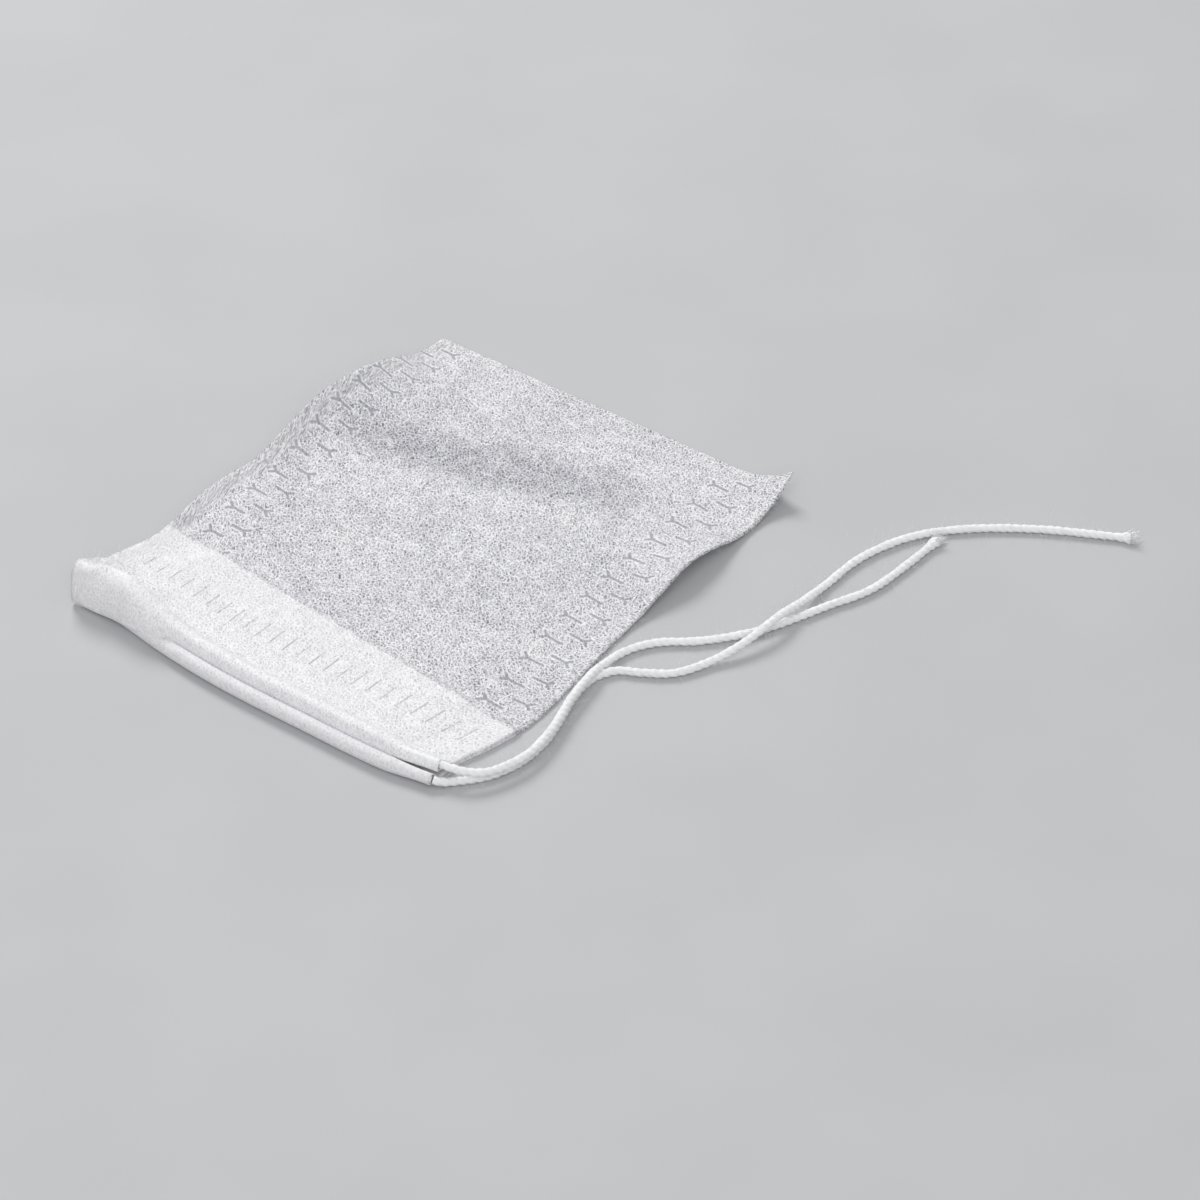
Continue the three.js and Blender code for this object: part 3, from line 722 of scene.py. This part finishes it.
# Colours: what shows between the sheet's fibres, its fibres and welds, its painted shade, and the other
# pieces
BODY_PORE = (0.185, 0.18, 0.22)
HEM_PORE = (0.57, 0.565, 0.6)
# darker pore for thin spots, also painted shade along the valley
THIN_AND_SHADED_PORE = (0.05, 0.05, 0.08)
CASING_PORE = (0.72, 0.715, 0.745)
FIBRE = (0.965, 0.96, 0.985)
# darker fibre for thin spots, also painted shade along the valley
THIN_AND_SHADED_FIBRE = (0.74, 0.735, 0.78)
# painted shade: darker fibre for the back casing, as in the front casing's shadow
SHADED_BACK_CASING_FIBRE = (0.865, 0.86, 0.885)
WELD_RIM = (0.95, 0.95, 0.975)
WELD = (0.29, 0.295, 0.33)
STRING_SHADE = (0.87, 0.875, 0.895)
STRING_WHITE = (0.965, 0.97, 0.985)
LOOSE_SHADE = (0.82, 0.82, 0.83)
LOOSE_WHITE = (0.95, 0.95, 0.95)
TABLE_SHADE = (0.50, 0.505, 0.52)
TABLE_LIGHT = (0.52, 0.525, 0.54)

# Rows of fork-shaped marks: place across, lean, first place along, stem and the way it points
FORK_ROWS = [
    (20.2, -0.05, 25.5, 2.1, -1), (24.3, -0.05, 27.6, 1.9, 1),
    (-24.4, -0.1, 21.3, 1.7, -1), (-20.9, -0.1, 23.4, 1.7, 1),
]
FORK_PITCH = 4.5
PRONG_LENGTH = 0.85
DIAGONAL = 0.7071
CASING_LOOK_FULL = 1.5
CASING_LOOK_END = 6.0

# The painted shade of a valley across the body's middle, and the painted highlight of a crest beside it
VALLEY_X = -5.0
VALLEY_Y = 17.7
VALLEY_SLOPE = 0.28
VALLEY_REACH = 22.0
VALLEY_WIDTH = 5.5
CREST_FROM_VALLEY = 8.0
CREST_WIDTH = 2.6


# Materials
class Field:
    """A value that varies over a surface: one output of a material's nodes."""

    def __init__(self, surface, socket):
        self.surface = surface
        self.socket = socket

    def maths(self, operation, *others, swapped=False):
        values = [self, *others]
        if swapped:
            values.reverse()
        return self.surface.node("ShaderNodeMath", {"operation": operation}, dict(enumerate(values)))

    def __add__(self, other):
        return self.maths("ADD", other)

    def __radd__(self, other):
        return self.maths("ADD", other)

    def __sub__(self, other):
        return self.maths("SUBTRACT", other)

    def __rsub__(self, other):
        return self.maths("SUBTRACT", other, swapped=True)

    def __mul__(self, other):
        return self.maths("MULTIPLY", other)

    def __rmul__(self, other):
        return self.maths("MULTIPLY", other)

    def __truediv__(self, other):
        return self.maths("DIVIDE", other)

    def __abs__(self):
        return self.maths("ABSOLUTE")

    def root(self):
        return self.maths("SQRT")

    def least(self, other):
        return self.maths("MINIMUM", other)

    def most(self, other):
        return self.maths("MAXIMUM", other)

    def between(self, start, end):
        """A smooth rise from 0 at start to 1 at end."""
        values = {"Value": self, "From Min": start, "From Max": end}
        return self.surface.node("ShaderNodeMapRange", {"interpolation_type": "SMOOTHSTEP"}, values)

    def repeated(self, pitch, phase):
        """Distance from the nearest of many places a pitch apart."""
        return (self - phase).maths("WRAP", pitch / 2, -pitch / 2)


class Surface:
    """A material of nodes round one Principled shader."""

    def __init__(self, name):
        self.material = bpy.data.materials.new(name)
        self.material.use_nodes = True
        self.tree = self.material.node_tree
        self.shader = self.tree.nodes["Principled BSDF"]

    def node(self, kind, settings=None, values=None, output=0):
        made = self.tree.nodes.new(kind)
        for key, value in (settings or {}).items():
            setattr(made, key, value)
        for key, value in (values or {}).items():
            self.set(made.inputs[key], value)
        return Field(self, made.outputs[output])

    def set(self, socket, value):
        if isinstance(value, Field):
            self.tree.links.new(value.socket, socket)
        else:
            socket.default_value = value

    def shade(self, **values):
        for key, value in values.items():
            self.set(self.shader.inputs[key.replace("_", " ")], value)
        return self.material

    def attribute(self, name):
        return self.node("ShaderNodeAttribute", {"attribute_name": name}, output="Vector")

    def parts(self, vector):
        made = self.tree.nodes.new("ShaderNodeSeparateXYZ")
        self.set(made.inputs[0], vector)
        return [Field(self, output) for output in made.outputs]

    def turned(self, vector, degrees, scale, shift):
        """The same places, shifted, turned and stretched."""
        turn = (0, 0, math.radians(degrees))
        values = {"Vector": vector, "Rotation": turn, "Scale": scale, "Location": shift}
        return self.node("ShaderNodeMapping", {"vector_type": "TEXTURE"}, values)

    def offset(self, vector, field, distance):
        """The same places, shifted by a field."""
        shift = (field - 0.5) * distance
        return self.node("ShaderNodeVectorMath", {"operation": "ADD"}, {0: vector, 1: shift})

    def noise(self, vector, scale, detail=2.0, roughness=0.5, dimensions="3D"):
        values = {"Vector": vector, "Scale": scale, "Detail": detail, "Roughness": roughness}
        return self.node("ShaderNodeTexNoise", {"noise_dimensions": dimensions}, values)

    def cells(self, vector, scale, width):
        """A net of thin lines round uneven cells, as one field from 0 to 1."""
        values = {"Vector": vector, "Scale": scale}
        settings = {"voronoi_dimensions": "2D", "feature": "DISTANCE_TO_EDGE"}
        return 1 - self.node("ShaderNodeTexVoronoi", settings, values).between(width * 0.3, width)

    def mixed(self, share, low, high):
        """A colour that goes from one to another."""
        made = self.tree.nodes.new("ShaderNodeMix")
        made.data_type = "RGBA"
        self.set(made.inputs["Factor"], share)
        for label, colour in (("A", low), ("B", high)):
            socket = next(s for s in made.inputs if s.name == label and s.type == "RGBA")
            self.set(socket, colour if isinstance(colour, Field) else (*colour, 1))
        return Field(self, next(s for s in made.outputs if s.type == "RGBA"))

    def bump(self, height, distance):
        return self.node("ShaderNodeBump", None, {"Height": height, "Distance": distance})


def nearest_of(fields):
    nearest = fields[0]
    for field in fields[1:]:
        nearest = nearest.least(field)
    return nearest


def fibre_lines(surface, weave, angles, width, spacing, length):
    """Thin curling lines in several directions, as one field from 0 to 1."""
    from_lines = []
    for k, angle in enumerate(angles):
        turned = surface.turned(weave, angle, (length, spacing, 1), (3.1 + k * 7.3, k * 5.9, 0))
        field = surface.noise(turned, 1.0, detail=1.0, dimensions="2D")
        from_lines.append(abs(field - 0.5).between(0, width))
    return 1 - nearest_of(from_lines)


def fibre_web(surface, weave):
    """The sheet's fibres: a warped net with straighter fibres over it."""
    drift = surface.noise(weave, 1.1, detail=2.0, dimensions="2D")
    strands = surface.offset(weave, drift, 0.9)
    net = surface.cells(strands, 1.9, 0.2).most(surface.cells(strands, 3.1, 0.25) * 0.75)
    angles = (8, 38, 70, 99, 131, 160)
    return (net * 0.88).most(fibre_lines(surface, weave, angles, width=0.022, spacing=0.42, length=4.0))


def hem_welds(x, y):
    """The row of short welds along the hem."""
    across = abs(x.repeated(DASH_PITCH, DASH_PITCH / 2))
    along = (abs(y - DASH_Y) - DASH_LENGTH / 2).most(0.0)
    past_row = (abs(x) - DASH_PITCH * DASH_COUNT / 2).between(-0.1, 0.1)
    return (1 - (across * across + along * along).root().between(0.03, 0.16)) * (1 - past_row)


def from_forks(x, y, edge, lean, phase, length, way):
    """Distance from one row of welded marks, each a short stem with a fork at one end."""
    u = (x - (y * lean + edge)) * way
    v = abs(y.repeated(FORK_PITCH, phase))
    past = (u * -1 - length).most(u).most(0.0)
    stem = (past * past + v * v).root()
    t = ((u + v) * DIAGONAL).most(0.0).least(PRONG_LENGTH)
    du, dv = u - t * DIAGONAL, v - t * DIAGONAL
    prong = (du * du + dv * dv).root()
    return stem.least(prong)


def thin_spots_and_painted_shade(surface, weave, x, y):
    """Random thin spots, with painted shade along the valley and a painted highlight along the crest
    beside it.
    """
    across = y - x * VALLEY_SLOPE - VALLEY_Y
    middle = 1 - (abs(x - VALLEY_X) / VALLEY_REACH).between(0.35, 1.1)
    # valley: a band of painted shade across the body; crest: a weaker band of painted highlight beside it
    valley = (1 - (abs(across) / VALLEY_WIDTH).between(0.1, 1.2)) * middle
    crest = (1 - (abs(across + CREST_FROM_VALLEY) / CREST_WIDTH).between(0.0, 1.2)) * middle
    hollow = surface.noise(weave, 0.09, detail=1.0, dimensions="2D").between(0.4, 0.62)
    return (hollow * 0.22 + valley - crest * 0.3 + 0.1).most(0.0).least(1.0)


def filter_sheet():
    """White non-woven filter sheet: denser where it is folded double, with thin spots, painted shade along
    a valley and on the back casing, and a painted highlight along a crest.
    """
    surface = Surface("filter_sheet")
    weave = surface.attribute("weave")
    x, y, ply = surface.parts(surface.attribute("place"))
    web = fibre_web(surface, weave)
    grain = surface.noise(weave, 4.2, detail=2.0, roughness=0.7, dimensions="2D").between(0.34, 0.66)
    cloud = surface.noise(weave, 0.5, detail=3.0, dimensions="2D").between(0.36, 0.68)

    share = (x + HALF_WIDTH) / BAG_WIDTH
    edge = share * (HEM_DEPTH_RIGHT - HEM_DEPTH_LEFT) + (MOUTH_Y + HEM_DEPTH_LEFT)
    in_hem = 1 - (y - edge + (web - 0.5) * 0.3).between(-0.15, 0.15)
    in_casing = 1 - y.between(MOUTH_Y + CASING_LOOK_FULL, MOUTH_Y + CASING_LOOK_END)
    in_body = (y - edge).between(0.6, 1.4) * (1 - (y - BOTTOM_Y).between(-1.6, -0.8))

    nearest = nearest_of([from_forks(x, y, *row) for row in FORK_ROWS])
    fork = (1 - nearest.between(0.08, 0.27)) * in_body * (grain * 0.3 + 0.7)
    rim = nearest.between(0.2, 0.32) * (1 - nearest.between(0.34, 0.55)) * in_body
    pressed = fork.most(hem_welds(x, y) * (cloud * 0.4 + 0.42))

    # thin spots outside the hem, with painted shade along the valley and a painted highlight along the
    # crest: darker density, pores and fibres where it is high
    thin = (1 - in_hem) * thin_spots_and_painted_shade(surface, weave, x, y)
    density = (web * 0.72 + grain * 0.22 + cloud * 0.06 - thin * 0.065).between(0.17, 0.96)
    pore = surface.mixed(in_hem, BODY_PORE, HEM_PORE)
    pore = surface.mixed(thin, pore, THIN_AND_SHADED_PORE)
    pore = surface.mixed(in_casing, pore, CASING_PORE)
    # fibres darkened by the thin spots and by the valley's painted shade
    fibre = surface.mixed(thin * 0.42, FIBRE, THIN_AND_SHADED_FIBRE)
    # painted shade: darker fibres on the casing rows that are not front plies, mostly the back casing
    # below the front one
    fibre = surface.mixed(in_casing * (1 - ply.between(0.3, 1.0)), fibre, SHADED_BACK_CASING_FIBRE)
    colour = surface.mixed(density, pore, fibre)
    colour = surface.mixed(rim * 0.4, colour, WELD_RIM)
    colour = surface.mixed(pressed * 0.84, colour, WELD)
    relief = web * (1 - pressed) * 0.6 + grain * 0.3 - pressed * 1.3
    return surface.shade(
        Base_Color=colour, Roughness=0.85, Normal=surface.bump(relief, 0.00003),
        Sheen_Weight=0.15, Sheen_Roughness=0.5, Specular_IOR_Level=0.25,
    )


def cotton_string():
    """White twisted cotton."""
    surface = Surface("cotton_string")
    place = surface.node("ShaderNodeTexCoord", output="Object")
    strands = surface.noise(place, 5200, detail=3.0, roughness=0.6)
    lint = surface.noise(place, 1500, detail=2.0)
    bright = strands * 0.6 + lint * 0.4
    colour = surface.mixed(bright.between(0.3, 0.66), STRING_SHADE, STRING_WHITE)
    return surface.shade(
        Base_Color=colour, Roughness=0.9, Normal=surface.bump(strands, 0.00006),
        Sheen_Weight=0.3, Sheen_Roughness=0.5, Specular_IOR_Level=0.2,
    )


def loose_fibre():
    """Single fibres of cotton or of the sheet's cut edge."""
    surface = Surface("loose_fibre")
    place = surface.node("ShaderNodeTexCoord", output="Object")
    tone = surface.noise(place, 900, detail=1.0).between(0.3, 0.7)
    colour = surface.mixed(tone, LOOSE_SHADE, LOOSE_WHITE)
    return surface.shade(Base_Color=colour, Roughness=0.7, Specular_IOR_Level=0.2)


def table_top():
    surface = Surface("table_top")
    place = surface.node("ShaderNodeTexCoord", output="Object")
    tone = surface.noise(place, 35, detail=2.0).between(0.3, 0.7)
    colour = surface.mixed(tone, TABLE_SHADE, TABLE_LIGHT)
    return surface.shade(Base_Color=colour, Roughness=0.6, Specular_IOR_Level=0.2)


sheet_look = filter_sheet()
string_look = cotton_string()
fibre_look = loose_fibre()
bag.data.materials.append(sheet_look)
for piece in (short_tail, held_string, long_tail):
    piece.data.materials.append(string_look)
loose_pieces = (short_fuzz, long_fuzz, short_fray, long_fray, cut_edge_fibres)
for piece in loose_pieces:
    piece.data.materials.append(fibre_look)


# Table and lights
def add_table():
    far, top = 1500, -0.02
    corners = [(-far, -far, top), (far, -far, top), (far, far, top), (-far, far, top)]
    table = mesh_object("table", corners, [(0, 1, 2, 3)], smooth=False)
    table.data.materials.append(table_top())


def add_lamp(name, place, size, power):
    data = bpy.data.lights.new(name, "AREA")
    data.shape = "DISK"
    data.size = size
    data.energy = power
    lamp = bpy.data.objects.new(name, data)
    lamp.location = place
    lamp.rotation_euler = (Vector((0, 0, 0)) - Vector(place)).to_track_quat("-Z", "Y").to_euler()
    bpy.context.collection.objects.link(lamp)


def add_lights():
    world = bpy.data.worlds.new("studio")
    world.use_nodes = True
    background = world.node_tree.nodes["Background"]
    background.inputs["Color"].default_value = (1, 1, 1, 1)
    background.inputs["Strength"].default_value = 0.5
    bpy.context.scene.world = world
    add_lamp("key", place=(-0.75, 0.55, 0.8), size=0.5, power=8.6)
    add_lamp("fill", place=(0.5, -0.75, 0.8), size=0.9, power=5)


add_table()
add_lights()
bpy.context.scene.view_settings.view_transform = "Standard"

# What rides on what, and what each piece stands for
for piece in (bag, short_tail, held_string, long_tail, *loose_pieces):
    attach(piece, "root")
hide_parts("filter_bag")
for piece in (short_tail, held_string, long_tail):
    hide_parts("drawstring")


bpy.context.view_layer.update()
